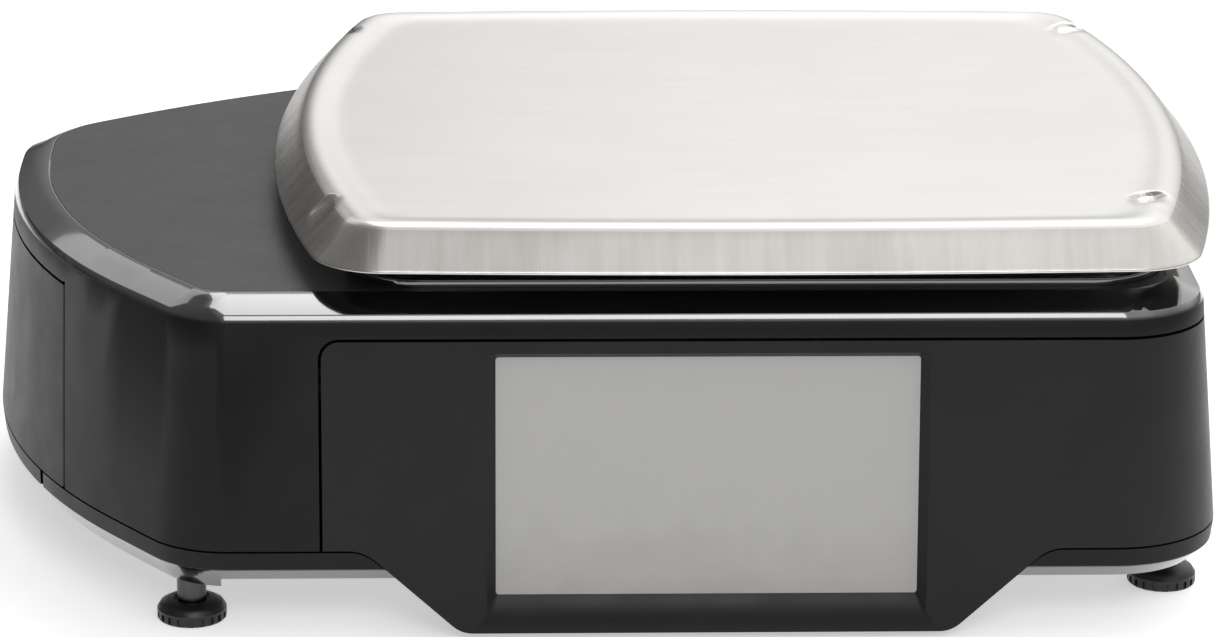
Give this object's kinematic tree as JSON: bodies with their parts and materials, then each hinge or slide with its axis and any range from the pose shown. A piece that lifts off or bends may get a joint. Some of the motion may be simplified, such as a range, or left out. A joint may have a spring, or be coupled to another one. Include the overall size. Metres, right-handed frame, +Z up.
{
  "type": "retail price scale",
  "caption": "Countertop price scale with a steel platter, a customer display hung on the front, an operator display behind and a side label printer.",
  "frame": {"origin": "bottom centre of the overall box, on the surface the feet stand on", "axes": "+Z up, -Y towards the customer and the customer display, +X to the right as the customer sees it"},
  "size_m": [0.5058, 0.4558, 0.162],
  "materials": {
    "gloss_black_plastic": "moulded, glossy black",
    "satin_black_plastic": "moulded, satin black",
    "textured_grey_plastic": "fine-grained dark grey",
    "display_glass": "grey display window",
    "stainless_steel": "brushed stainless steel",
    "plated_steel": "zinc-plated steel",
    "aluminium": "machined aluminium",
    "black_rubber": "black rubber",
    "foot_plastic": "black moulded foot",
    "nylon": "natural nylon",
    "brass": "turned brass",
    "dark_plastic": "dark engineering plastic",
    "key_plastic": "light grey key caps",
    "circuit_board": "green circuit board",
    "motor_steel": "dark painted steel"
  },
  "bodies": {
    "housing": {"main_cover": "gloss_black_plastic", "top_inlay": "textured_grey_plastic", "spill_ring": "gloss_black_plastic", "front_panel": "satin_black_plastic", "base_pan": "gloss_black_plastic", "bay_sill": "gloss_black_plastic", "case_screws": "plated_steel", "customer_screen": "display_glass", "customer_lcd_module": "plated_steel", "customer_display_board": "circuit_board", "operator_panel": "satin_black_plastic", "operator_screen": "display_glass", "operator_lcd_module": "plated_steel", "key_board": "circuit_board", "chassis_frame": "plated_steel", "load_cell": "aluminium", "load_cell_spacers": "aluminium", "load_cell_screws": "plated_steel", "overload_stops": "plated_steel", "spider": "plated_steel", "spider_pads": "black_rubber", "mainboard": "circuit_board", "board_standoffs": "nylon", "board_chips": "dark_plastic", "power_supply": "aluminium", "mains_inlet": "dark_plastic", "port_block": "dark_plastic", "switch_body": "dark_plastic", "printer_face": "gloss_black_plastic", "tear_bar": "plated_steel", "door_hinge_pins": "plated_steel", "printer_side_plate": "plated_steel", "printer_outer_bracket": "plated_steel", "stepper_motor": "motor_steel", "rewind_belt": "black_rubber"},
    "platter": {"platter": "stainless_steel"},
    "printer_door": {"printer_door": "gloss_black_plastic"},
    "door_latch": {"door_latch": "satin_black_plastic"},
    "print_head": {"print_head": "plated_steel", "head_shaft": "plated_steel", "head_lever": "dark_plastic"},
    "platen": {"platen_roller": "black_rubber", "platen_shaft": "plated_steel", "platen_gear": "nylon"},
    "idler": {"idler_gear": "nylon"},
    "motor_pinion": {"motor_pinion": "brass"},
    "rewind_spindle": {"rewind_spindle": "satin_black_plastic"},
    "roll_spindle": {"roll_spindle": "satin_black_plastic"},
    "roll_guide": {"roll_guide": "satin_black_plastic"},
    "power_rocker": {"switch_rocker": "dark_plastic"},
    "power_key": {"power_key": "key_plastic"},
    "feed_key": {"feed_key": "key_plastic"},
    "foot_front_left": {"foot_pad_front_left": "foot_plastic", "foot_stud_front_left": "plated_steel"},
    "foot_front_right": {"foot_pad_front_right": "foot_plastic", "foot_stud_front_right": "plated_steel"},
    "foot_rear_left": {"foot_pad_rear_left": "foot_plastic", "foot_stud_rear_left": "plated_steel"},
    "foot_rear_right": {"foot_pad_rear_right": "foot_plastic", "foot_stud_rear_right": "plated_steel"}
  },
  "joints": [
    {"name": "platter_lift", "type": "slide", "parent": "housing", "child": "platter", "axis": [0, 0, 1], "range_m": [0, 0.06]},
    {"name": "printer_door_swing", "type": "hinge", "parent": "housing", "child": "printer_door", "pos_m": [-0.21509, -0.14889, 0.0365], "axis": [0.0169, 0.1567, 0.9875], "range_deg": [0, 80]},
    {"name": "door_latch_slide", "type": "slide", "parent": "housing", "child": "door_latch", "axis": [0.7986, 0.6018, 0], "range_m": [0, 0.006], "stiffness_N_per_m": 300, "springref_m": -0.002},
    {"name": "print_head_lift", "type": "hinge", "parent": "housing", "child": "print_head", "pos_m": [-0.15943, 0.04258, 0.09], "axis": [0.848, 0.5299, 0], "range_deg": [0, 30]},
    {"name": "platen_spin", "type": "hinge", "parent": "housing", "child": "platen", "pos_m": [-0.17109, 0.06124, 0.066], "axis": [0.848, 0.5299, 0], "continuous": true},
    {"name": "idler_spin", "type": "hinge", "parent": "housing", "child": "idler", "pos_m": [-0.15988, 0.0433, 0.066], "axis": [0.848, 0.5299, 0], "continuous": true},
    {"name": "motor_spin", "type": "hinge", "parent": "housing", "child": "motor_pinion", "pos_m": [-0.15132, 0.0296, 0.066], "axis": [0.848, 0.5299, 0], "continuous": true},
    {"name": "rewind_spin", "type": "hinge", "parent": "housing", "child": "rewind_spindle", "pos_m": [-0.09425, -0.06173, 0.072], "axis": [0.848, 0.5299, 0], "continuous": true},
    {"name": "roll_spin", "type": "hinge", "parent": "housing", "child": "roll_spindle", "pos_m": [-0.12657, -0.01, 0.08], "axis": [0.848, 0.5299, 0], "continuous": true},
    {"name": "roll_guide_slide", "type": "slide", "parent": "roll_spindle", "child": "roll_guide", "axis": [0.848, 0.5299, 0], "range_m": [0, 0.025]},
    {"name": "power_rocker_tilt", "type": "hinge", "parent": "housing", "child": "power_rocker", "pos_m": [0.23542, 0.058, 0.066], "axis": [0, 1, 0], "range_deg": [-20, 0]},
    {"name": "power_key_press", "type": "slide", "parent": "housing", "child": "power_key", "axis": [0, -0.8239, -0.5667], "range_m": [0, 0.0012], "stiffness_N_per_m": 800, "springref_m": -0.0005},
    {"name": "feed_key_press", "type": "slide", "parent": "housing", "child": "feed_key", "axis": [0, -0.8239, -0.5667], "range_m": [0, 0.0012], "stiffness_N_per_m": 800, "springref_m": -0.0005},
    {"name": "foot_front_left_level", "type": "slide", "parent": "housing", "child": "foot_front_left", "axis": [0, 0, 1], "range_m": [-0.004, 0.008]},
    {"name": "foot_front_right_level", "type": "slide", "parent": "housing", "child": "foot_front_right", "axis": [0, 0, 1], "range_m": [-0.004, 0.008]},
    {"name": "foot_rear_left_level", "type": "slide", "parent": "housing", "child": "foot_rear_left", "axis": [0, 0, 1], "range_m": [-0.004, 0.008]},
    {"name": "foot_rear_right_level", "type": "slide", "parent": "housing", "child": "foot_rear_right", "axis": [0, 0, 1], "range_m": [-0.004, 0.008]}
  ],
  "couplings": [
    {"joint": "idler_spin", "follows": "platen_spin", "ratio": -1.1},
    {"joint": "motor_spin", "follows": "platen_spin", "ratio": 1.8333},
    {"joint": "rewind_spin", "follows": "platen_spin", "ratio": 0.65476}
  ]
}
